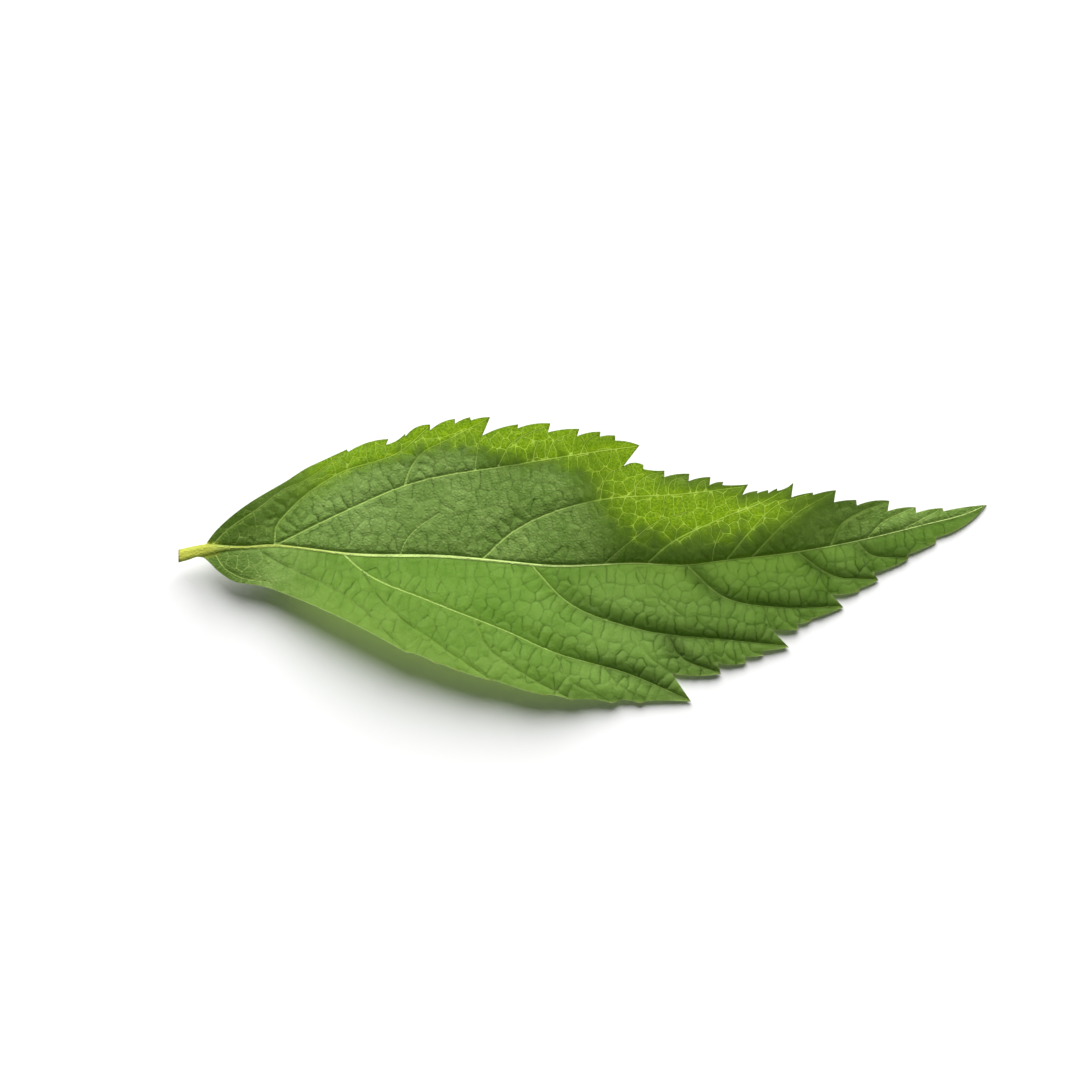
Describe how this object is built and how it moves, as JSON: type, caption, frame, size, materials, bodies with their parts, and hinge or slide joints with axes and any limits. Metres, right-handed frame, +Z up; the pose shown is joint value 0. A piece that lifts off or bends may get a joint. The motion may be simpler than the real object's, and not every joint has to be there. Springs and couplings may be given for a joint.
{
  "type": "serrated leaf",
  "caption": "Single fresh leaf with a doubly toothed edge, puckered blade, raised midrib and short cut stalk, lying face up as a garnish or prop.",
  "frame": {"origin": "middle of the leaf's footprint, on the surface that it lies on", "axes": "+X along the midrib from the cut stalk to the leaf's tip, +Y across the blade to its raised, more steeply rising half, +Z up out of the upper face"},
  "size_m": [0.1008, 0.0358, 0.0149],
  "materials": {
    "leaf": "satin"
  },
  "bodies": {
    "root": {"leaf": "leaf"}
  },
  "joints": []
}
